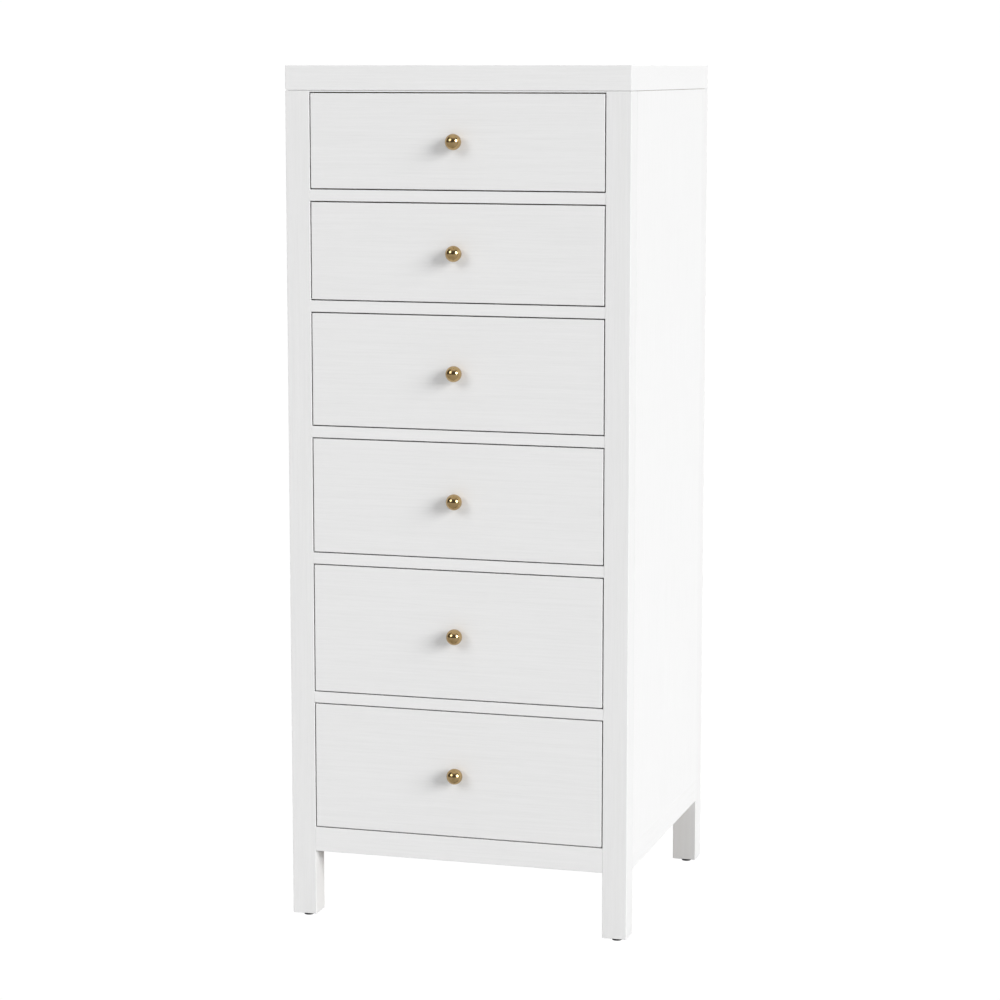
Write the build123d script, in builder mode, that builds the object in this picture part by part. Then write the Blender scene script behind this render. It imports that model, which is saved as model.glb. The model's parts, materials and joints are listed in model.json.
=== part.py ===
from build123d import *
import os

os.makedirs("parts", exist_ok=True)

# Tall chest of drawers: a post-and-panel case with six inset drawers on side-mounted slides.
# Millimetres, +Z up, front facing -Y, origin at the bottom centre of the overall box.

# Driving dimensions
WIDTH = 558.8
DEPTH = 537.0                 # case without the knobs
HEIGHT = 1374.4               # floor to the top surface
GLIDE_HEIGHT = 6.4
GLIDE_RADIUS = 8.0
GLIDE_ROUND = 1.0             # rounded rim where a glide meets the floor
TOP_THICKNESS = 39.3
SHADOW_LINE = 0.4             # height of the shadow line round the underside of the top
SHADOW_LINE_DEPTH = 4.0
POST = 39.6                   # square corner posts
BOARD = 18.0                  # rails, side panels and rear rails
TOP_STRIP = 2.1               # lip of the top rail showing over the first drawer
RAIL_DEPTH = 60.0
GAP = 1.9                     # all round each drawer front
OPENING_HEIGHTS = (151.9, 156.5, 181.9, 185.8, 208.9, 206.2)
APRON_HEIGHT = 39.5
SIDE_RAIL_HEIGHT = 39.1
REAR_APRON_HEIGHT = 60.0
EASE = 0.9                    # softened arrises of the case
FRONT_EASE = 0.9              # softened edges of the drawer fronts
BACK_THICKNESS = 5.0
BACK_RECESS = 3.0             # back panel below the posts' rear faces
BACK_REBATE = 9.0             # how far the back panel laps each rear post
BACK_PLAY = 0.5

# Drawers
FRONT_THICKNESS = 20.0
BOX_SIDE = 12.0
BOX_LENGTH = 450.0
BOX_BELOW_FRONT_TOP = 22.0
BOX_ABOVE_FRONT_BOTTOM = 10.0
BOTTOM_THICKNESS = 5.0
BOTTOM_UP = 8.0               # drawer bottom above the lower edge of the sides
GROOVE_DEPTH = 6.0
BOTTOM_TONGUE = 5.5           # how far the bottom sits in its grooves
BOX_EDGE_ROUND = 2.0

# Slides
SLIDE_SPACE = 12.7            # between case and drawer box
SLIDE_LENGTH = 448.0
SLIDE_SETBACK = 2.0           # behind the back of the drawer front
SLIDE_UP = 45.0               # slide centre above the bottom of the drawer box
SLIDE_STEEL = 1.2
CASE_MEMBER_HEIGHT = 35.0
CASE_MEMBER_WIDTH = 11.0
CASE_MEMBER_LIP = 3.0
DRAWER_MEMBER_HEIGHT = 24.0
DRAWER_MEMBER_WIDTH = 9.5
CLEAT_HEIGHT = 40.0

# Knobs and fasteners
KNOB_RADIUS = 12.7
KNOB_PROJECTION = 25.6
KNOB_FOOT_RADIUS = 6.5
KNOB_FOOT_HEIGHT = 0.9
KNOB_NECK_RADIUS = 5.0
KNOB_BORE_DEPTH = 10.0
KNOB_BORE_RADIUS = 2.1
KNOB_SCREW_RADIUS = 2.0
KNOB_SCREW_REACH = 8.0        # length of screw inside the knob
KNOB_SCREW_HEAD_RADIUS = 4.2
KNOB_SCREW_HEAD_HEIGHT = 3.0
KNOB_HOLE_RADIUS = 2.25
WOOD_SCREW_RADIUS = 2.0
WOOD_SCREW_HEAD_RADIUS = 3.8
WOOD_SCREW_HEAD_HEIGHT = 2.2
RECESS_LENGTH = 4.0
RECESS_WIDTH = 0.9
RECESS_DEPTH = 1.2
TOP_SCREW_LENGTH = 40.0
BACK_SCREW_LENGTH = 20.0
BACK_SCREWS_PER_SIDE = 6
TOP_SCREWS_PER_RAIL = 3
TOP_SCREW_SPACING = 190.0
TOP_SCREW_SETBACK = 40.0      # behind the front face
TIP_HOLE_RADIUS = 1.5
TIP_HOLE_SPACING = 32.0
TIP_HOLE_DEPTH = 25.0

# Places worked out from the driving dimensions
FRONT_Y = (KNOB_PROJECTION - DEPTH) / 2
BACK_Y = FRONT_Y + DEPTH
CASE_Y = (FRONT_Y + BACK_Y) / 2
INNER_X = WIDTH / 2 - POST
POST_X = WIDTH / 2 - POST / 2
PANEL_X = WIDTH / 2 - BOARD / 2
UNDERSIDE = HEIGHT - TOP_THICKNESS
SIDE_LENGTH = DEPTH - 2 * POST
BACK_FACE_Y = BACK_Y - BACK_RECESS
BACK_INNER_Y = BACK_FACE_Y - BACK_THICKNESS
FRONT_BACK_Y = FRONT_Y + FRONT_THICKNESS
BOX_END_Y = FRONT_BACK_Y + BOX_LENGTH
BOX_OUTER_X = INNER_X - SLIDE_SPACE
BOX_INNER_X = BOX_OUTER_X - BOX_SIDE
SLIDE_START_Y = FRONT_BACK_Y + SLIDE_SETBACK

# Lower edge of every drawer opening, from the top one down
opening_floors = []
level = UNDERSIDE - TOP_STRIP
for opening_height in OPENING_HEIGHTS:
    opening_floors.append(level - opening_height)
    level -= opening_height + BOARD
APRON_TOP = opening_floors[-1]
APRON_BOTTOM = APRON_TOP - APRON_HEIGHT
SIDE_RAIL_TOP = APRON_BOTTOM + SIDE_RAIL_HEIGHT


def save(builder, name):
    """Label a finished piece and write its STEP file."""
    builder.part.label = name
    export_step(builder.part, f"parts/{name}.step")


def slide_center(floor):
    """Height of a drawer's slides above the ground, from the floor of its opening."""
    return floor + GAP + BOX_ABOVE_FRONT_BOTTOM + SLIDE_UP


def spread(count, low, high):
    """Evenly spaced values from low to high."""
    return [low + (high - low) * step / (count - 1) for step in range(count)]


# Top; it stands on a shallow pad, which leaves a shadow line round the case
with BuildPart() as top_panel:
    with BuildSketch(Plane.XY.offset(UNDERSIDE + SHADOW_LINE)):
        with Locations((0, CASE_Y)):
            Rectangle(WIDTH, DEPTH)
    extrude(amount=TOP_THICKNESS - SHADOW_LINE)
    fillet(top_panel.edges(), EASE)
    with BuildSketch(Plane.XY.offset(UNDERSIDE)):
        with Locations((0, CASE_Y)):
            Rectangle(WIDTH - 2 * SHADOW_LINE_DEPTH, DEPTH - 2 * SHADOW_LINE_DEPTH)
    extrude(amount=SHADOW_LINE)
save(top_panel, "top_panel")

# Corner posts; the rear pair is rebated for the back panel
post_rows = (("front", FRONT_Y + POST / 2), ("rear", BACK_Y - POST / 2))
post_columns = (("left", -1), ("right", 1))
for row, post_y in post_rows:
    for column, side in post_columns:
        with BuildPart() as post:
            with BuildSketch(Plane.XY.offset(GLIDE_HEIGHT)):
                with Locations((side * POST_X, post_y)):
                    Rectangle(POST, POST)
            extrude(amount=UNDERSIDE - GLIDE_HEIGHT)
            fillet(post.edges(), EASE)
            if row == "rear":
                rebate_depth = BACK_THICKNESS + BACK_RECESS
                with BuildSketch(Plane.XY.offset(APRON_BOTTOM)):
                    with Locations((side * (INNER_X + BACK_REBATE / 2), BACK_Y - rebate_depth / 2)):
                        Rectangle(BACK_REBATE, rebate_depth)
                extrude(amount=UNDERSIDE - APRON_BOTTOM, mode=Mode.SUBTRACT)
        save(post, f"post_{row}_{column}")

# Side panels, sharp-edged where they butt against the posts and the top, and the rails under them
for column, side in post_columns:
    with BuildPart() as side_panel:
        with BuildSketch(Plane.XY.offset(SIDE_RAIL_TOP)):
            with Locations((side * PANEL_X, CASE_Y)):
                Rectangle(BOARD, SIDE_LENGTH)
        extrude(amount=UNDERSIDE - SIDE_RAIL_TOP)
    save(side_panel, f"side_panel_{column}")

    with BuildPart() as side_rail:
        with BuildSketch(Plane.XY.offset(APRON_BOTTOM)):
            with Locations((side * PANEL_X, CASE_Y)):
                Rectangle(BOARD, SIDE_LENGTH)
        extrude(amount=SIDE_RAIL_HEIGHT)
        fillet(side_rail.edges().filter_by(Axis.Y), EASE)
    save(side_rail, f"side_rail_{column}")

# Rails between the drawers
for number, floor in enumerate(opening_floors[:-1], start=1):
    with BuildPart() as front_rail:
        with BuildSketch(Plane.XY.offset(floor - BOARD)):
            with Locations((0, FRONT_Y + RAIL_DEPTH / 2)):
                Rectangle(2 * INNER_X, RAIL_DEPTH)
        extrude(amount=BOARD)
        fillet(front_rail.edges().filter_by(Axis.X), EASE)
    save(front_rail, f"front_rail_{number}")

# Top rail: a thin lip closes the gap over the first drawer, the body sits behind the drawer front
with BuildPart() as top_front_rail:
    with BuildSketch(Plane.YZ.offset(-INNER_X)):
        with BuildLine():
            lip_back_y = FRONT_BACK_Y + SLIDE_SETBACK
            Polyline(
                (FRONT_Y, UNDERSIDE),
                (FRONT_Y, UNDERSIDE - TOP_STRIP),
                (lip_back_y, UNDERSIDE - TOP_STRIP),
                (lip_back_y, UNDERSIDE - BOARD),
                (FRONT_Y + RAIL_DEPTH, UNDERSIDE - BOARD),
                (FRONT_Y + RAIL_DEPTH, UNDERSIDE),
                close=True,
            )
        make_face()
    extrude(amount=2 * INNER_X)
save(top_front_rail, "top_front_rail")

with BuildPart() as front_apron:
    with BuildSketch(Plane.XY.offset(APRON_BOTTOM)):
        with Locations((0, FRONT_Y + BOARD / 2)):
            Rectangle(2 * INNER_X, BOARD)
    extrude(amount=APRON_HEIGHT)
    fillet(front_apron.edges().filter_by(Axis.X), EASE)
save(front_apron, "front_apron")

# Rear rails and the back panel, with two pilot holes for a tip restraint
TIP_HOLE_Z = UNDERSIDE - BOARD / 2
tip_plane = Plane(origin=(0, BACK_FACE_Y, TIP_HOLE_Z), x_dir=(-1, 0, 0), z_dir=(0, 1, 0))

with BuildPart() as top_rear_rail:
    with BuildSketch(Plane.XY.offset(UNDERSIDE - BOARD)):
        with Locations((0, BACK_INNER_Y - RAIL_DEPTH / 2)):
            Rectangle(2 * INNER_X, RAIL_DEPTH)
    extrude(amount=BOARD)
    fillet(top_rear_rail.edges().filter_by(Axis.X), EASE)
    with BuildSketch(tip_plane):
        with GridLocations(TIP_HOLE_SPACING, 0, 2, 1):
            Circle(TIP_HOLE_RADIUS)
    extrude(amount=-(BACK_THICKNESS + TIP_HOLE_DEPTH), mode=Mode.SUBTRACT)
save(top_rear_rail, "top_rear_rail")

with BuildPart() as rear_apron:
    with BuildSketch(Plane.XY.offset(APRON_BOTTOM)):
        with Locations((0, BACK_INNER_Y - BOARD / 2)):
            Rectangle(2 * INNER_X, BOARD)
    extrude(amount=REAR_APRON_HEIGHT)
    fillet(rear_apron.edges().filter_by(Axis.X), EASE)
save(rear_apron, "rear_apron")

BACK_HALF_WIDTH = INNER_X + BACK_REBATE - BACK_PLAY
BACK_BOTTOM = APRON_BOTTOM + BACK_PLAY
BACK_TOP = UNDERSIDE - BACK_PLAY
with BuildPart() as back_panel:
    with BuildSketch(Plane.XY.offset(BACK_BOTTOM)):
        with Locations((0, BACK_FACE_Y - BACK_THICKNESS / 2)):
            Rectangle(2 * BACK_HALF_WIDTH, BACK_THICKNESS)
    extrude(amount=BACK_TOP - BACK_BOTTOM)
    with BuildSketch(tip_plane):
        with GridLocations(TIP_HOLE_SPACING, 0, 2, 1):
            Circle(TIP_HOLE_RADIUS)
    extrude(amount=-BACK_THICKNESS, mode=Mode.SUBTRACT)
save(back_panel, "back_panel")

# Cleats carry the slides in line with the posts' inner faces
with BuildPart() as slide_cleats:
    cleat_width = POST - BOARD
    for floor in opening_floors:
        with BuildSketch(Plane.XY.offset(slide_center(floor) - CLEAT_HEIGHT / 2)):
            for side in (-1, 1):
                with Locations((side * (INNER_X + cleat_width / 2), CASE_Y)):
                    Rectangle(cleat_width, SIDE_LENGTH)
        extrude(amount=CLEAT_HEIGHT)
save(slide_cleats, "slide_cleats")


def channel_outline(side, web_x, toward, width, height, lip, center_z):
    """Outline of a steel channel seen along Y: web at web_x, flanges pointing toward +1 or -1."""
    outer = side * web_x
    step = side * toward
    tip = outer + step * width
    half = height / 2
    steel = SLIDE_STEEL
    inner_tip = tip - step * steel if lip else tip
    points = [(outer, -half), (tip, -half)]
    if lip:
        points += [(tip, -half + lip), (inner_tip, -half + lip)]
    points += [(inner_tip, -half + steel), (outer + step * steel, -half + steel)]
    upper = [(x, -z) for x, z in reversed(points)]
    return [(x, center_z + z) for x, z in points + upper]


# The slides run along Y; a sketch on this plane stands at their rear end and extrudes forwards
slide_plane = Plane.XZ.offset(-(SLIDE_START_Y + SLIDE_LENGTH))

with BuildPart() as case_slides:
    for floor in opening_floors:
        for side in (-1, 1):
            outline = channel_outline(side, INNER_X, -1, CASE_MEMBER_WIDTH, CASE_MEMBER_HEIGHT,
                                      CASE_MEMBER_LIP, slide_center(floor))
            with BuildSketch(slide_plane):
                with BuildLine():
                    Polyline(*outline, close=True)
                make_face()
            extrude(amount=SLIDE_LENGTH)
save(case_slides, "case_slides")

# Glides under the posts
with BuildPart() as glides:
    with BuildSketch(Plane.XY):
        with Locations((0, CASE_Y)):
            with GridLocations(2 * POST_X, DEPTH - POST, 2, 2):
                Circle(GLIDE_RADIUS)
    extrude(amount=GLIDE_HEIGHT)
    fillet(glides.edges().group_by(Axis.Z)[0], GLIDE_ROUND)
save(glides, "glides")


def wood_screw(length):
    """Pan-head wood screw with a cross recess, head upwards, seated on the XY plane."""
    with BuildPart() as screw:
        with BuildSketch(Plane.XY):
            Circle(WOOD_SCREW_HEAD_RADIUS)
        extrude(amount=WOOD_SCREW_HEAD_HEIGHT)
        fillet(screw.edges().group_by(Axis.Z)[-1], WOOD_SCREW_HEAD_HEIGHT / 2)
        with BuildSketch(Plane.XY):
            Circle(WOOD_SCREW_RADIUS)
        extrude(amount=-length)
        with BuildSketch(Plane.XY.offset(WOOD_SCREW_HEAD_HEIGHT)):
            Rectangle(RECESS_LENGTH, RECESS_WIDTH)
            Rectangle(RECESS_WIDTH, RECESS_LENGTH)
        extrude(amount=-RECESS_DEPTH, mode=Mode.SUBTRACT)
    return screw.part


# Screws that hold the top, up through the two top rails
top_screw = wood_screw(TOP_SCREW_LENGTH)
with BuildPart() as top_screws:
    for screw_y in (FRONT_Y + TOP_SCREW_SETBACK, BACK_INNER_Y - RAIL_DEPTH / 2):
        seat = Plane(origin=(0, screw_y, UNDERSIDE - BOARD), z_dir=(0, 0, -1))
        with Locations(seat):
            with GridLocations(TOP_SCREW_SPACING, 0, TOP_SCREWS_PER_RAIL, 1):
                add(top_screw)
save(top_screws, "top_screws")

# Screws round the edge of the back panel
back_screw = wood_screw(BACK_SCREW_LENGTH)
back_plane = Plane(origin=(0, BACK_FACE_Y, 0), x_dir=(-1, 0, 0), z_dir=(0, 1, 0))
screw_x = INNER_X + BACK_REBATE / 2
side_points = [
    (side * screw_x, z)
    for side in (-1, 1)
    for z in spread(BACK_SCREWS_PER_SIDE, BACK_BOTTOM + BOARD, BACK_TOP - BOARD)
]
rail_points = [
    (side * screw_x / 3, z)
    for side in (-1, 1)
    for z in (APRON_BOTTOM + REAR_APRON_HEIGHT / 2, TIP_HOLE_Z)
]
with BuildPart() as back_screws:
    with Locations(back_plane):
        with Locations(*side_points, *rail_points):
            add(back_screw)
save(back_screws, "back_screws")

# Drawers, numbered from the top
for number, floor in enumerate(opening_floors, start=1):
    front_bottom = floor + GAP
    front_height = OPENING_HEIGHTS[number - 1] - 2 * GAP
    front_width = 2 * (INNER_X - GAP)
    knob_z = front_bottom + front_height / 2
    box_bottom = front_bottom + BOX_ABOVE_FRONT_BOTTOM
    box_top = front_bottom + front_height - BOX_BELOW_FRONT_TOP
    box_height = box_top - box_bottom
    bottom_z = box_bottom + BOTTOM_UP
    name = f"drawer_{number}"

    # Plane at the middle of the drawer front, facing out of the case
    knob_plane = Plane(origin=(0, FRONT_Y, knob_z), x_dir=(1, 0, 0), z_dir=(0, -1, 0))

    with BuildPart() as drawer_front:
        with BuildSketch(knob_plane):
            Rectangle(front_width, front_height)
        extrude(amount=-FRONT_THICKNESS)
        fillet(drawer_front.edges(), FRONT_EASE)
        with BuildSketch(Plane.XY.offset(bottom_z)):
            with Locations((0, FRONT_BACK_Y - GROOVE_DEPTH / 2)):
                Rectangle(2 * (BOX_INNER_X + GROOVE_DEPTH), GROOVE_DEPTH)
        extrude(amount=BOTTOM_THICKNESS, mode=Mode.SUBTRACT)
        with BuildSketch(knob_plane):
            Circle(KNOB_HOLE_RADIUS)
        extrude(amount=-FRONT_THICKNESS, mode=Mode.SUBTRACT)
    save(drawer_front, f"{name}_front")

    with BuildPart() as drawer_sides:
        with BuildSketch(Plane.XY.offset(box_bottom)):
            with Locations((0, (FRONT_BACK_Y + BOX_END_Y) / 2)):
                with GridLocations(2 * (BOX_OUTER_X - BOX_SIDE / 2), 0, 2, 1):
                    Rectangle(BOX_SIDE, BOX_LENGTH)
        extrude(amount=box_height)
        top_edges = drawer_sides.edges().filter_by(Axis.Y).group_by(Axis.Z)[-1]
        fillet(top_edges, BOX_EDGE_ROUND)
        with BuildSketch(Plane.XY.offset(bottom_z)):
            with Locations((0, (FRONT_BACK_Y + BOX_END_Y) / 2)):
                Rectangle(2 * (BOX_INNER_X + GROOVE_DEPTH), BOX_LENGTH)
        extrude(amount=BOTTOM_THICKNESS, mode=Mode.SUBTRACT)
    save(drawer_sides, f"{name}_sides")

    with BuildPart() as drawer_back:
        with BuildSketch(Plane.XY.offset(bottom_z + BOTTOM_THICKNESS)):
            with Locations((0, BOX_END_Y - BOX_SIDE / 2)):
                Rectangle(2 * BOX_INNER_X, BOX_SIDE)
        extrude(amount=box_top - bottom_z - BOTTOM_THICKNESS)
        fillet(drawer_back.edges().filter_by(Axis.X).group_by(Axis.Z)[-1], BOX_EDGE_ROUND)
    save(drawer_back, f"{name}_back")

    with BuildPart() as drawer_bottom:
        bottom_front_y = FRONT_BACK_Y - BOTTOM_TONGUE
        with BuildSketch(Plane.XY.offset(bottom_z)):
            with Locations((0, (bottom_front_y + BOX_END_Y) / 2)):
                Rectangle(2 * (BOX_INNER_X + BOTTOM_TONGUE), BOX_END_Y - bottom_front_y)
        extrude(amount=BOTTOM_THICKNESS)
    save(drawer_bottom, f"{name}_bottom")

    # Turned ball knob, and the machine screw that comes through the drawer front
    with BuildPart() as knob:
        ball_center = KNOB_PROJECTION - KNOB_RADIUS
        neck_end = ball_center - (KNOB_RADIUS**2 - KNOB_NECK_RADIUS**2) ** 0.5
        with BuildSketch(Plane.YZ) as knob_profile:
            with BuildLine():
                Polyline(
                    (FRONT_Y - KNOB_BORE_DEPTH, knob_z),
                    (FRONT_Y - KNOB_BORE_DEPTH, knob_z + KNOB_BORE_RADIUS),
                    (FRONT_Y, knob_z + KNOB_BORE_RADIUS),
                    (FRONT_Y, knob_z + KNOB_FOOT_RADIUS),
                    (FRONT_Y - KNOB_FOOT_HEIGHT, knob_z + KNOB_FOOT_RADIUS),
                    (FRONT_Y - KNOB_FOOT_HEIGHT, knob_z + KNOB_NECK_RADIUS),
                    (FRONT_Y - neck_end, knob_z + KNOB_NECK_RADIUS),
                )
                ThreePointArc(
                    (FRONT_Y - neck_end, knob_z + KNOB_NECK_RADIUS),
                    (FRONT_Y - ball_center, knob_z + KNOB_RADIUS),
                    (FRONT_Y - KNOB_PROJECTION, knob_z),
                )
                Line((FRONT_Y - KNOB_PROJECTION, knob_z), (FRONT_Y - KNOB_BORE_DEPTH, knob_z))
            make_face()
        revolve(axis=Axis((0, FRONT_Y, knob_z), (0, 1, 0)))
        with BuildSketch(Plane.YZ):
            with BuildLine():
                Polyline(
                    (FRONT_Y - KNOB_SCREW_REACH, knob_z),
                    (FRONT_Y - KNOB_SCREW_REACH, knob_z + KNOB_SCREW_RADIUS),
                    (FRONT_BACK_Y, knob_z + KNOB_SCREW_RADIUS),
                    (FRONT_BACK_Y, knob_z + KNOB_SCREW_HEAD_RADIUS),
                    (FRONT_BACK_Y + KNOB_SCREW_HEAD_HEIGHT, knob_z + KNOB_SCREW_HEAD_RADIUS),
                    (FRONT_BACK_Y + KNOB_SCREW_HEAD_HEIGHT, knob_z),
                    close=True,
                )
            make_face()
        revolve(axis=Axis((0, FRONT_Y, knob_z), (0, 1, 0)))
    save(knob, f"{name}_knob")

    with BuildPart() as drawer_slides:
        for side in (-1, 1):
            outline = channel_outline(side, BOX_OUTER_X, 1, DRAWER_MEMBER_WIDTH,
                                      DRAWER_MEMBER_HEIGHT, 0, slide_center(floor))
            with BuildSketch(slide_plane):
                with BuildLine():
                    Polyline(*outline, close=True)
                make_face()
            extrude(amount=SLIDE_LENGTH)
    save(drawer_slides, f"{name}_slides")
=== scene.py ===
import json
import math

import bmesh
import bpy
from mathutils import Matrix, Vector

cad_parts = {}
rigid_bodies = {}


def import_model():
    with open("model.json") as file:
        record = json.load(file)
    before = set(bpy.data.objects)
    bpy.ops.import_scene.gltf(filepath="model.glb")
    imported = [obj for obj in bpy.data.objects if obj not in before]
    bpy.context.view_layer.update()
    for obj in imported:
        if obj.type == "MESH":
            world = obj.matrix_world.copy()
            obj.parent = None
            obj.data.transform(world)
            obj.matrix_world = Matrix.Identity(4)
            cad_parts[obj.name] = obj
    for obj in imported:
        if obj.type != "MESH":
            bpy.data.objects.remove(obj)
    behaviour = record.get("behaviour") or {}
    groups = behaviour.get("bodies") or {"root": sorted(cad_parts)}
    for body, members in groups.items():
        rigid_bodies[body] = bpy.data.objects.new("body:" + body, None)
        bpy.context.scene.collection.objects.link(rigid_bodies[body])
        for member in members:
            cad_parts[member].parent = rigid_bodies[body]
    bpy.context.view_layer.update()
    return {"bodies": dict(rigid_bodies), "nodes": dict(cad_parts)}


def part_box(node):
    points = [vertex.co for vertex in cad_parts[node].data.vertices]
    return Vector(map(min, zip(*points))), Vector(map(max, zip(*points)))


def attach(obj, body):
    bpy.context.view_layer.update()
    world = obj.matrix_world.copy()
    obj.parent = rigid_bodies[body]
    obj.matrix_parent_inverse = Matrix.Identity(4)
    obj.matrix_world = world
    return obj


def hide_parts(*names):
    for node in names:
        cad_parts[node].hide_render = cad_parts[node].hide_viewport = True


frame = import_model()

MM = 0.001
DRAWERS = [name for name in frame["bodies"] if name.startswith("drawer_")]

# Planes of the case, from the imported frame
case_low, case_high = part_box("top_panel")
FRONT_Y = case_low.y
BACK_Y = case_high.y
HALF_WIDTH = case_high.x
UNDERSIDE = case_low.z
APRON_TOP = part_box("front_apron")[1].z
FRONT_BACK_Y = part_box("drawer_1_front")[1].y


# ---------------------------------------------------------------- materials

def stretch(grain, across):
    """Texture scale that draws a pattern out along the grain axis and packs it across the grain."""
    return tuple(1 if axis == grain else across for axis in "XYZ")


class Surface:
    """A material whose Principled shader is fed by short procedural chains."""

    def __init__(self, name, **constants):
        self.material = bpy.data.materials.new(name)
        self.material.use_nodes = True
        self.tree = self.material.node_tree
        self.shader = self.tree.nodes["Principled BSDF"]
        self.coords = self.tree.nodes.new("ShaderNodeTexCoord")
        for socket, value in constants.items():
            self.shader.inputs[socket.replace("_", " ")].default_value = value

    def node(self, kind, inputs, output=0, **settings):
        """Add a node; inputs maps socket names or numbers to values or to other nodes' outputs."""
        made = self.tree.nodes.new(kind)
        for name, value in settings.items():
            setattr(made, name, value)
        for key, value in inputs.items():
            if isinstance(value, bpy.types.NodeSocket):
                self.tree.links.new(value, made.inputs[key])
            else:
                made.inputs[key].default_value = value
        return made.outputs[output]

    def mapped(self, scale, shift=(0, 0, 0)):
        return self.node("ShaderNodeMapping", {"Vector": self.coords.outputs["Object"],
                                               "Location": shift, "Scale": scale})

    def noise(self, scale, stretched=(1, 1, 1), detail=3.0, rough=0.5, bend=0.0, shift=(0, 0, 0)):
        return self.node("ShaderNodeTexNoise",
                         {"Vector": self.mapped(stretched, shift), "Scale": scale,
                          "Detail": detail, "Roughness": rough, "Distortion": bend})

    def math(self, operation, first, second=0.0):
        return self.node("ShaderNodeMath", {0: first, 1: second}, operation=operation)

    def remap(self, value, low, high, to_low=0.0, to_high=1.0, smooth=False):
        return self.node("ShaderNodeMapRange",
                         {"Value": value, "From Min": low, "From Max": high,
                          "To Min": to_low, "To Max": to_high},
                         interpolation_type="SMOOTHSTEP" if smooth else "LINEAR")

    def mix(self, amount, first, second):
        """Blend two colours; each is a tuple or another node's output."""
        made = self.tree.nodes.new("ShaderNodeMix")
        made.data_type = "RGBA"
        for socket, value in ((made.inputs[0], amount), (made.inputs[6], first),
                              (made.inputs[7], second)):
            if isinstance(value, bpy.types.NodeSocket):
                self.tree.links.new(value, socket)
            else:
                socket.default_value = (*value, 1) if isinstance(value, tuple) else value
        return made.outputs[2]

    def bump(self, height, strength, depth, under=None):
        inputs = {"Height": height, "Strength": strength, "Distance": depth}
        if under is not None:
            inputs["Normal"] = under
        return self.node("ShaderNodeBump", inputs)

    def feed(self, **sockets):
        for socket, value in sockets.items():
            self.tree.links.new(value, self.shader.inputs[socket.replace("_", " ")])
        return self.material

    def axis(self, letter):
        """Place along one axis of the object's own frame, in metres."""
        split = self.node("ShaderNodeSeparateXYZ", {"Vector": self.coords.outputs["Object"]},
                          output="XYZ".index(letter))
        return split

    def region(self, limits, ragged):
        """1 inside every (axis, low, high, soft edge) limit, 0 outside, with a ragged border."""
        inside = None
        for letter, low, high, edge in limits:
            place = self.math("ADD", self.axis(letter), ragged)
            above = self.remap(place, low - edge, low + edge, smooth=True)
            below = self.remap(place, high - edge, high + edge, 1.0, 0.0, smooth=True)
            step = self.math("MULTIPLY", above, below)
            inside = step if inside is None else self.math("MULTIPLY", inside, step)
        return inside

    def arris(self):
        """1 on the rounded edges of a board, 0 on its flat faces."""
        split = self.tree.nodes.new("ShaderNodeSeparateXYZ")
        self.tree.links.new(self.coords.outputs["Normal"], split.inputs[0])
        sides = [self.math("ABSOLUTE", out) for out in split.outputs]
        flattest = self.math("MAXIMUM", self.math("MAXIMUM", sides[0], sides[1]), sides[2])
        return self.remap(flattest, 0.90, 0.995, 1.0, 0.0)


# Linear colours; PAINT to PAINT_THIN are the coat, from full to worn, and the dark grey after them is
# painted shade in the reveals
PAINT = (0.868, 0.868, 0.868)
PAINT_SHADE = (0.795, 0.795, 0.793)
PAINT_THIN = (0.810, 0.807, 0.798)
# Painted shade for deep in the reveals, darkening the gaps between drawers and case
REVEAL_PAINTED_SHADE = (0.500, 0.496, 0.488)
POPLAR = (0.600, 0.470, 0.300)
POPLAR_DARK = (0.430, 0.310, 0.175)
BIRCH = (0.700, 0.545, 0.355)
BIRCH_DARK = (0.560, 0.405, 0.235)
HARDBOARD = (0.270, 0.165, 0.088)
HARDBOARD_DARK = (0.150, 0.085, 0.042)
ZINC = (0.660, 0.670, 0.690)
ZINC_DULL = (0.500, 0.515, 0.540)
BRASS = (0.530, 0.375, 0.185)
BRASS_PATINA = (0.410, 0.275, 0.120)
NYLON = (0.016, 0.016, 0.017)
NYLON_SCUFF = (0.085, 0.083, 0.080)
FLOOR = (0.53, 0.53, 0.53)
FLOOR_LIGHT = (0.57, 0.57, 0.57)


def bare_wood(surface, grain, light, dark):
    """Colour and height of unfinished wood with its grain along one axis."""
    figure = surface.noise(7.0, stretch(grain, 16), detail=4, rough=0.55, bend=0.9)
    rings = surface.math("PINGPONG", surface.math("MULTIPLY", figure, 9.0), 1.0)
    pores = surface.noise(60.0, stretch(grain, 28), detail=4, rough=0.65)
    tone = surface.math("ADD", surface.math("MULTIPLY", rings, 0.55),
                        surface.math("MULTIPLY", surface.remap(pores, 0.35, 0.7), 0.45))
    return surface.mix(tone, light, dark), pores


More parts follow.
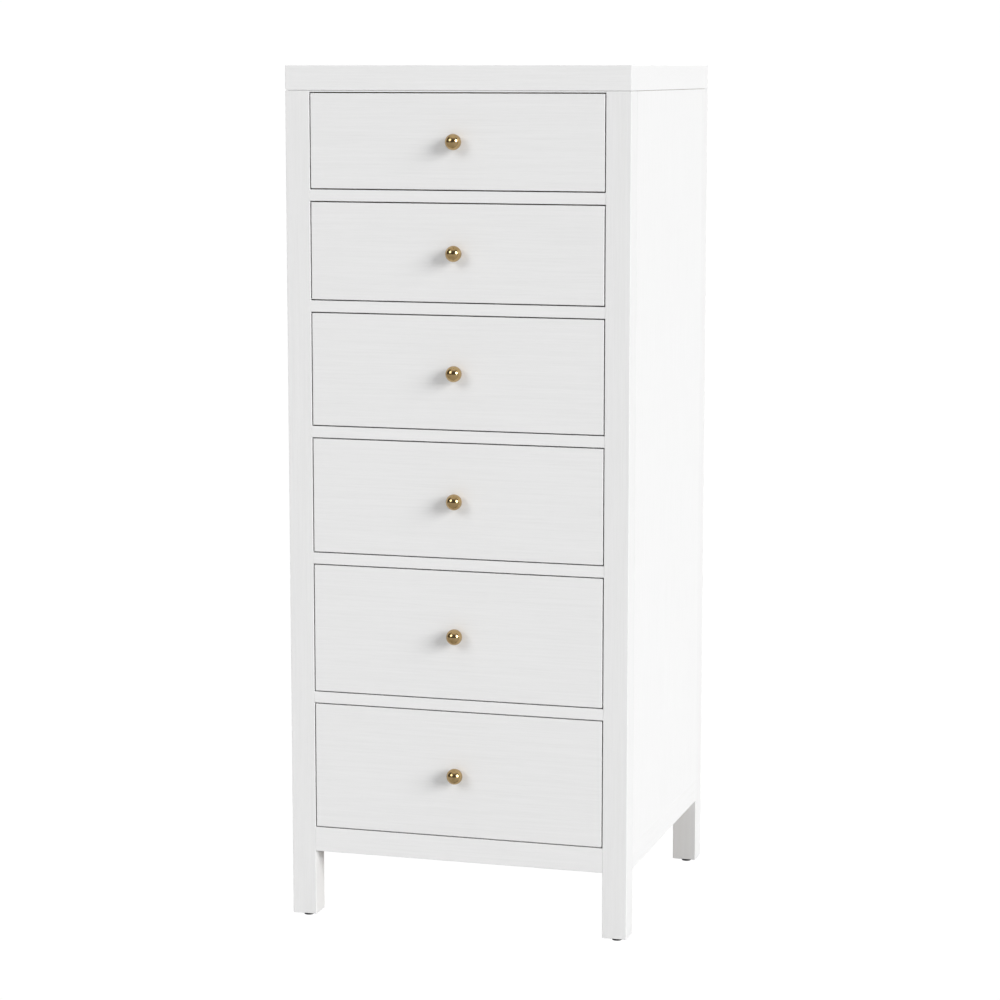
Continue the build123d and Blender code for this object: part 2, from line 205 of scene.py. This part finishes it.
def painted_board(name, grain, bare_inside, reveal_shade_region, painted_shade=0.0):
    """White paint over straight grain, painted shade in the reveals and bare wood inside the case.

    Each region is a list of (axis, low, high, soft edge) that all have to hold. The whole coat can
    be made greyer, a painted shade that gives a shaded copy of the same paint.
    """
    surface = Surface(name, IOR=1.47, Specular_IOR_Level=0.3, Metallic=0.0)
    streaks = surface.noise(7.0, stretch(grain, 46), detail=5, rough=0.62, bend=0.15)
    pores = surface.noise(34.0, stretch(grain, 40), detail=4, rough=0.7)
    mottle = surface.noise(5.0, detail=2)
    roller = surface.noise(520.0, detail=2, rough=0.45)

    # The coat: streaks of grain show through as a slightly greyer tone, most of all in the pores
    streak_tone = surface.remap(streaks, 0.34, 0.68)
    pore_tone = surface.remap(pores, 0.52, 0.74)
    shade = surface.math("ADD", surface.math("MULTIPLY", streak_tone, 0.40),
                         surface.math("MULTIPLY", pore_tone, 0.45))
    shade = surface.math("ADD", shade, surface.math("MULTIPLY", mottle, 0.15))
    # Painted shade: some boards get a greyer coat as a whole, a shaded copy of the same white paint
    shade = surface.math("ADD", shade, painted_shade)
    coat = surface.mix(shade, PAINT, PAINT_SHADE)

    # Paint pulls thin on the rounded arrises, where pores open
    worn = surface.math("MULTIPLY", surface.arris(), surface.remap(pores, 0.50, 0.70, 0.0, 0.6))
    coat = surface.mix(worn, coat, PAINT_THIN)

    # In the reveals a dark grey is mixed in, painted shade that darkens the gaps, and inside the case
    # the wood is bare
    ragged_edge = surface.math("MULTIPLY", surface.math("SUBTRACT", roller, 0.5), 5 * MM)
    reveal_shade = surface.region(reveal_shade_region, ragged_edge)
    coat = surface.mix(reveal_shade, coat, REVEAL_PAINTED_SHADE)
    bare = surface.region(bare_inside, ragged_edge)
    wood = bare_wood(surface, grain, POPLAR, POPLAR_DARK)[0]
    color = surface.mix(bare, coat, wood)

    height = surface.math("ADD", surface.math("MULTIPLY", streaks, 0.55),
                          surface.math("MULTIPLY", pores, 0.35))
    height = surface.math("ADD", height, surface.math("MULTIPLY", roller, 0.10))
    normal = surface.bump(height, 0.22, 0.35 * MM)
    gloss = surface.remap(pores, 0.3, 0.7, 0.50, 0.62)
    gloss = surface.math("ADD", gloss, surface.math("MULTIPLY", bare, 0.12))
    return surface.feed(Base_Color=color, Roughness=gloss, Normal=normal)


def clear_wood(name, grain, light, dark, gloss):
    """Pale plywood or solid wood under a thin clear finish."""
    surface = Surface(name, IOR=1.46)
    color, pores = bare_wood(surface, grain, light, dark)
    clouds = surface.noise(9.0, detail=3)
    color = surface.mix(surface.remap(clouds, 0.35, 0.7, 0.0, 0.28), color, dark)
    worn = surface.math("MULTIPLY", surface.arris(), 0.30)
    color = surface.mix(worn, color, dark)
    normal = surface.bump(pores, 0.30, 0.25 * MM)
    rough = surface.remap(pores, 0.3, 0.7, gloss - 0.08, gloss + 0.08)
    return surface.feed(Base_Color=color, Roughness=rough, Normal=normal)


def hardboard(name):
    """Pressed fibre board: short dark flecks, faint cloudy density changes, a smooth hard face."""
    surface = Surface(name, IOR=1.5)
    fibres = surface.noise(420.0, (1, 1, 0.5), detail=4, rough=0.75, bend=1.2)
    clouds = surface.noise(14.0, detail=3)
    flecks = surface.remap(fibres, 0.42, 0.66)
    tone = surface.math("ADD", surface.math("MULTIPLY", flecks, 0.7),
                        surface.math("MULTIPLY", clouds, 0.3))
    color = surface.mix(tone, HARDBOARD, HARDBOARD_DARK)
    normal = surface.bump(fibres, 0.25, 0.12 * MM)
    rough = surface.remap(clouds, 0.3, 0.7, 0.46, 0.60)
    return surface.feed(Base_Color=color, Roughness=rough, Normal=normal)


def zinc(name):
    """Bright zinc plate on rolled steel, with faint lengthwise rolling marks and dull patches."""
    surface = Surface(name, Metallic=1.0)
    rolling = surface.noise(30.0, stretch("Y", 50), detail=4, rough=0.6)
    patches = surface.noise(60.0, detail=3, rough=0.6)
    color = surface.mix(surface.remap(patches, 0.35, 0.7), ZINC, ZINC_DULL)
    rough = surface.math("ADD", surface.remap(rolling, 0.3, 0.7, 0.24, 0.38),
                         surface.remap(patches, 0.4, 0.7, 0.0, 0.10))
    normal = surface.bump(rolling, 0.12, 0.05 * MM)
    return surface.feed(Base_Color=color, Roughness=rough, Normal=normal)


def brass(name):
    """Polished brass: a light brown patina in patches and fine handling scuffs."""
    surface = Surface(name, Metallic=1.0)
    patina = surface.noise(95.0, detail=4, rough=0.65)
    scuffs = surface.noise(900.0, (1, 1, 0.25), detail=3, rough=0.7, bend=0.8)
    color = surface.mix(surface.remap(patina, 0.42, 0.68), BRASS, BRASS_PATINA)
    rough = surface.math("ADD", surface.remap(patina, 0.35, 0.7, 0.11, 0.20),
                         surface.remap(scuffs, 0.55, 0.75, 0.0, 0.10))
    normal = surface.bump(scuffs, 0.05, 0.03 * MM)
    return surface.feed(Base_Color=color, Roughness=rough, Normal=normal)


def black_plastic(name):
    """Moulded nylon with a fine matt texture and paler scuffs where it meets the floor."""
    surface = Surface(name, IOR=1.5)
    texture = surface.noise(1500.0, detail=3, rough=0.6)
    scuffs = surface.noise(240.0, detail=4, rough=0.7)
    low = surface.remap(surface.axis("Z"), 0.0, 1.6 * MM, 1.0, 0.0)
    scuffed = surface.math("MULTIPLY", low, surface.remap(scuffs, 0.5, 0.62))
    color = surface.mix(scuffed, NYLON, NYLON_SCUFF)
    rough = surface.remap(texture, 0.3, 0.7, 0.42, 0.62)
    normal = surface.bump(texture, 0.3, 0.05 * MM)
    return surface.feed(Base_Color=color, Roughness=rough, Normal=normal)


# The case is painted where it can be seen with the drawers shut. A few millimetres into the reveals
# the coat fades to a painted shade, and behind the drawer fronts the wood is bare.
SHARP = 0.8 * MM
FADE = 2.0 * MM
REVEAL = 1.0 * MM
within_sides = ("X", -HALF_WIDTH + 2 * MM, HALF_WIDTH - 2 * MM, SHARP)
within_height = ("Z", APRON_TOP - 1.5 * MM, UNDERSIDE + 1.5 * MM, SHARP)
REBATE_Y = BACK_Y - 9 * MM
case_bare = [within_sides, within_height, ("Y", FRONT_BACK_Y + REVEAL, REBATE_Y, SHARP)]
case_reveal_shade = [within_sides, within_height, ("Y", FRONT_Y + 2 * FADE, REBATE_Y, FADE)]
front_bare = [("Y", FRONT_BACK_Y - REVEAL, BACK_Y, SHARP)]
front_reveal_shade = [("Y", FRONT_Y + 2 * FADE, BACK_Y, FADE)]

paint_x = painted_board("white_paint_grain_x", "X", case_bare, case_reveal_shade)
paint_y = painted_board("white_paint_grain_y", "Y", case_bare, case_reveal_shade)
paint_z = painted_board("white_paint_grain_z", "Z", case_bare, case_reveal_shade)
# Posts and drawer fronts carry painted shade: greyer copies of the same white paint
paint_post_painted_shade = painted_board("white_paint_post_painted_shade", "Z", case_bare, case_reveal_shade, painted_shade=0.25)
paint_front_painted_shade = painted_board("white_paint_drawer_front_painted_shade", "X", front_bare, front_reveal_shade, painted_shade=0.15)
poplar_x = clear_wood("poplar_grain_x", "X", POPLAR, POPLAR_DARK, 0.62)
poplar_y = clear_wood("poplar_grain_y", "Y", POPLAR, POPLAR_DARK, 0.62)
birch_x = clear_wood("birch_grain_x", "X", BIRCH, BIRCH_DARK, 0.45)
birch_y = clear_wood("birch_grain_y", "Y", BIRCH, BIRCH_DARK, 0.45)
zinc_steel = zinc("zinc_steel")
old_brass = brass("polished_brass")
nylon = black_plastic("black_plastic")

materials = {
    "top_panel": paint_x, "top_front_rail": paint_x, "front_apron": paint_x,
    "top_rear_rail": poplar_x, "rear_apron": paint_x, "back_panel": hardboard("hardboard"),
    "slide_cleats": poplar_y, "case_slides": zinc_steel, "top_screws": zinc_steel,
    "back_screws": zinc_steel, "glides": nylon,
}
for side in ("left", "right"):
    materials[f"side_panel_{side}"] = paint_z
    materials[f"side_rail_{side}"] = paint_y
    materials[f"post_front_{side}"] = paint_post_painted_shade
    materials[f"post_rear_{side}"] = paint_post_painted_shade
for drawer in DRAWERS:
    materials[f"{drawer}_front"] = paint_front_painted_shade
    materials[f"{drawer}_sides"] = birch_y
    materials[f"{drawer}_back"] = birch_x
    materials[f"{drawer}_bottom"] = birch_x
    materials[f"{drawer}_slides"] = zinc_steel
for name in frame["nodes"]:
    if name.startswith("front_rail_"):
        materials[name] = paint_x


def dress(piece, material):
    """Give a piece one material on every face."""
    piece.data.materials.clear()
    piece.data.materials.append(material)


for name, material in materials.items():
    dress(frame["nodes"][name], material)


# ---------------------------------------------------------------- turned and screwed pieces

def lathe(outline, segments):
    """Mesh of a turned shape round +Z from (radius, height) points; the ends close at radius 0."""
    made = bmesh.new()
    rings = []
    for radius, height in outline:
        if radius == 0:
            rings.append([made.verts.new((0, 0, height))])
            continue
        turns = [2 * math.pi * step / segments for step in range(segments)]
        rings.append([made.verts.new((radius * math.cos(t), radius * math.sin(t), height))
                      for t in turns])
    for lower, upper in zip(rings, rings[1:]):
        for step in range(segments):
            after = (step + 1) % segments
            corners = [lower[step % len(lower)], lower[after % len(lower)],
                       upper[after % len(upper)], upper[step % len(upper)]]
            made.faces.new(list(dict.fromkeys(corners)))
    bmesh.ops.recalc_face_normals(made, faces=made.faces)
    return made


def arc(center, radius, start, end, steps):
    """(radius, height) points on a circle about center, from start to end in degrees."""
    angles = [math.radians(start + (end - start) * step / steps) for step in range(steps + 1)]
    return [(center[0] + radius * math.cos(a), center[1] + radius * math.sin(a)) for a in angles]


def cross_cutter(length, width, top, depth):
    """Closed cross-shaped prism that narrows downwards, as a screwdriver leaves it."""
    made = bmesh.new()
    long, short = length / 2, width / 2
    outline = [(long, -short), (long, short), (short, short), (short, long), (-short, long),
               (-short, short), (-long, short), (-long, -short), (-short, -short),
               (-short, -long), (short, -long), (short, -short)]
    taper = 0.55
    upper = [made.verts.new((x, y, top + depth)) for x, y in outline]
    lower = [made.verts.new((x * taper, y * taper, top - depth)) for x, y in outline]
    made.faces.new(upper)
    made.faces.new(lower[::-1])
    for step in range(len(outline)):
        after = (step + 1) % len(outline)
        made.faces.new([upper[step], lower[step], lower[after], upper[after]])
    bmesh.ops.recalc_face_normals(made, faces=made.faces)
    return made


def to_object(name, made, smooth_below=40.0):
    """Turn a bmesh into an object in the scene, smooth except across sharp edges."""
    mesh = bpy.data.meshes.new(name)
    made.to_mesh(mesh)
    made.free()
    mesh.shade_smooth()
    mesh.set_sharp_from_angle(angle=math.radians(smooth_below))
    piece = bpy.data.objects.new(name, mesh)
    bpy.context.scene.collection.objects.link(piece)
    return piece


def screw_head_mesh(radius, height):
    """Mesh of a pan head with a cross recess, seated on the XY plane."""
    outline = [(0, 0), (radius * 0.94, 0), (radius, height * 0.12), (radius, height * 0.45)]
    outline += arc((radius * 0.62, height * 0.45), radius * 0.38, 0, 78, 8)[1:]
    top = outline[-1][1]
    outline += [(radius * 0.34, top * 1.02), (0, top * 1.04)]
    head = to_object("screw_head", lathe(outline, 40))
    cutter = to_object("screw_cutter", cross_cutter(radius * 1.15, radius * 0.26, top, height * 0.5))
    boolean = head.modifiers.new("recess", "BOOLEAN")
    boolean.object = cutter
    boolean.operation = "DIFFERENCE"
    boolean.solver = "EXACT"
    graph = bpy.context.evaluated_depsgraph_get()
    mesh = bpy.data.meshes.new_from_object(head.evaluated_get(graph))
    bpy.data.objects.remove(head)
    bpy.data.objects.remove(cutter)
    return mesh


def facing(point, direction):
    """Matrix that stands a +Z shape at a point so that it rises along a direction."""
    turn = Vector(direction).to_track_quat("Z", "Y").to_matrix().to_4x4()
    return Matrix.Translation(point) @ turn


def gathered(name, mesh, places, body, material):
    """One piece made of a mesh repeated at several places, riding on a body."""
    made = bmesh.new()
    for place in places:
        copy = mesh.copy()
        copy.transform(place)
        made.from_mesh(copy)
        bpy.data.meshes.remove(copy)
    piece = to_object(name, made)
    dress(piece, material)
    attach(piece, body)
    return piece


KNOB_RADIUS = 12.7 * MM
KNOB_FOOT = 6.5 * MM
KNOB_FOOT_HEIGHT = 0.9 * MM
KNOB_NECK = 5.0 * MM
KNOB_SCREW_HEAD = (4.2 * MM, 2.8 * MM)     # radius and height
SLIDE_SCREW_HEAD = (3.2 * MM, 1.5 * MM)


def knob_outline(reach):
    """Foot, cove, neck and ball of a turned knob that stands reach out from the drawer front."""
    ball = (0, reach - KNOB_RADIUS)
    rim = 0.3 * MM
    neck_angle = -math.degrees(math.acos(KNOB_NECK / KNOB_RADIUS))
    neck_top = ball[1] + KNOB_RADIUS * math.sin(math.radians(neck_angle))
    cove = (neck_top - KNOB_FOOT_HEIGHT) * 0.45
    outline = [(0, 0), (KNOB_FOOT - rim, 0)]
    outline += arc((KNOB_FOOT - rim, rim), rim, -90, 0, 4)[1:]
    outline += arc((KNOB_FOOT - rim, KNOB_FOOT_HEIGHT - rim), rim, 0, 90, 4)
    outline += arc((KNOB_NECK + cove, KNOB_FOOT_HEIGHT + cove), cove, 270, 180, 6)
    outline += arc(ball, KNOB_RADIUS, neck_angle, 90, 44)[:-1]
    outline.append((0, reach))
    return outline


for drawer in DRAWERS:
    low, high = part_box(f"{drawer}_knob")
    middle = (low + high) / 2
    reach = FRONT_Y - low.y
    knob = to_object(f"{drawer}_ball_knob", lathe(knob_outline(reach), 96))
    knob.data.transform(facing((middle.x, FRONT_Y, middle.z), (0, -1, 0)))
    dress(knob, old_brass)
    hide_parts(f"{drawer}_knob")
    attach(knob, drawer)

    seat = facing((middle.x, FRONT_BACK_Y, middle.z), (0, 1, 0))
    gathered(f"{drawer}_knob_screw", screw_head_mesh(*KNOB_SCREW_HEAD), [seat], drawer,
             zinc_steel)


# Small screws through the webs of the slides
SLIDE_SCREWS = (0.09, 0.5, 0.91)   # shares of the slide's length
slide_screw = screw_head_mesh(*SLIDE_SCREW_HEAD)

STEEL = 1.2 * MM
SLIDE_SPACE = 12.7 * MM
inner_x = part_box("post_front_right")[0].x
case_places = []
for drawer in DRAWERS:
    low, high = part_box(f"{drawer}_slides")
    height = (low.z + high.z) / 2
    spots = [(side, low.y + share * (high.y - low.y)) for side in (-1, 1) for share in SLIDE_SCREWS]
    drawer_places = [facing((side * (inner_x - SLIDE_SPACE + STEEL), y, height), (side, 0, 0))
                     for side, y in spots]
    case_places += [facing((side * (inner_x - STEEL), y, height), (-side, 0, 0))
                    for side, y in spots]
    gathered(f"{drawer}_slide_screws", slide_screw, drawer_places, drawer, zinc_steel)
gathered("case_slide_screws", slide_screw, case_places, "case", zinc_steel)


# ---------------------------------------------------------------- stage, light and camera

def stage_floor():
    """Large pale floor: white to the camera, and greyer in what it throws back on the chest."""
    bpy.ops.mesh.primitive_plane_add(size=60)
    floor = bpy.context.object
    floor.name = "floor"
    surface = Surface("floor_paper", Roughness=0.9)
    fibres = surface.noise(160.0, detail=3)
    color = surface.mix(fibres, FLOOR, FLOOR_LIGHT)
    surface.feed(Base_Color=color)
    tree = surface.tree
    glow = tree.nodes.new("ShaderNodeEmission")
    glow.inputs["Strength"].default_value = 1.02
    path = tree.nodes.new("ShaderNodeLightPath")
    blend = tree.nodes.new("ShaderNodeMixShader")
    tree.links.new(path.outputs["Is Camera Ray"], blend.inputs[0])
    tree.links.new(surface.shader.outputs[0], blend.inputs[1])
    tree.links.new(glow.outputs[0], blend.inputs[2])
    tree.links.new(blend.outputs[0], tree.nodes["Material Output"].inputs["Surface"])
    floor.data.materials.append(surface.material)


def sky(front, back, above):
    """White to the camera; as light, dim ahead of the chest and brighter behind it and overhead."""
    world = bpy.data.worlds.new("surroundings")
    bpy.context.scene.world = world
    world.use_nodes = True
    tree = world.node_tree
    background = tree.nodes["Background"]
    coords = tree.nodes.new("ShaderNodeTexCoord")
    split = tree.nodes.new("ShaderNodeSeparateXYZ")
    tree.links.new(coords.outputs["Generated"], split.inputs[0])
    horizon = tree.nodes.new("ShaderNodeMapRange")
    horizon.interpolation_type = "SMOOTHSTEP"
    for socket, value in (("From Min", -0.2), ("From Max", 0.8), ("To Min", front), ("To Max", back)):
        horizon.inputs[socket].default_value = value
    tree.links.new(split.outputs["Y"], horizon.inputs["Value"])
    shade = tree.nodes.new("ShaderNodeMapRange")
    shade.interpolation_type = "SMOOTHSTEP"
    for socket, value in (("From Min", 0.6), ("From Max", 1.0), ("To Max", above)):
        shade.inputs[socket].default_value = value
    tree.links.new(split.outputs["Z"], shade.inputs["Value"])
    tree.links.new(horizon.outputs["Result"], shade.inputs["To Min"])
    path = tree.nodes.new("ShaderNodeLightPath")
    brightness = tree.nodes.new("ShaderNodeMix")
    brightness.inputs["B"].default_value = 1.02
    tree.links.new(path.outputs["Is Camera Ray"], brightness.inputs["Factor"])
    tree.links.new(shade.outputs["Result"], brightness.inputs["A"])
    tree.links.new(brightness.outputs["Result"], background.inputs["Strength"])
    background.inputs["Color"].default_value = (1, 1, 1, 1)


def softbox(name, toward, level, spread):
    """Distant soft light. toward points at it, and spread is the angle it fills, in degrees.

    level is what it gives a surface that faces it, as a share of a full white sky.
    """
    data = bpy.data.lights.new(name, "SUN")
    data.energy = level * math.pi
    data.angle = math.radians(spread)
    lamp = bpy.data.objects.new(name, data)
    lamp.rotation_mode = "QUATERNION"
    lamp.rotation_quaternion = Vector(toward).to_track_quat("Z", "Y")
    bpy.context.scene.collection.objects.link(lamp)


stage_floor()
sky(front=0.12, back=0.42, above=0.85)
softbox("right_light", (0.843, -0.425, 0.33), 0.857, 30)
softbox("left_light", (-0.486, -0.737, 0.469), 0.280, 30)
softbox("back_light", (-0.15, 0.90, 0.40), 0.35, 40)

# Camera at the height of the top, turned to see the front and the right side
camera_data = bpy.data.cameras.new("camera")
camera_data.sensor_width = 36.0
camera_data.lens = 106.41
camera_data.clip_end = 200.0
camera = bpy.data.objects.new("camera", camera_data)
camera.location = (1.36027, FRONT_Y - 4.39427, 1.37058)
camera.rotation_euler = (math.radians(90 - 8.323), 0, math.radians(16.343))
bpy.context.scene.collection.objects.link(camera)
bpy.context.scene.camera = camera
bpy.context.scene.view_settings.view_transform = "Standard"
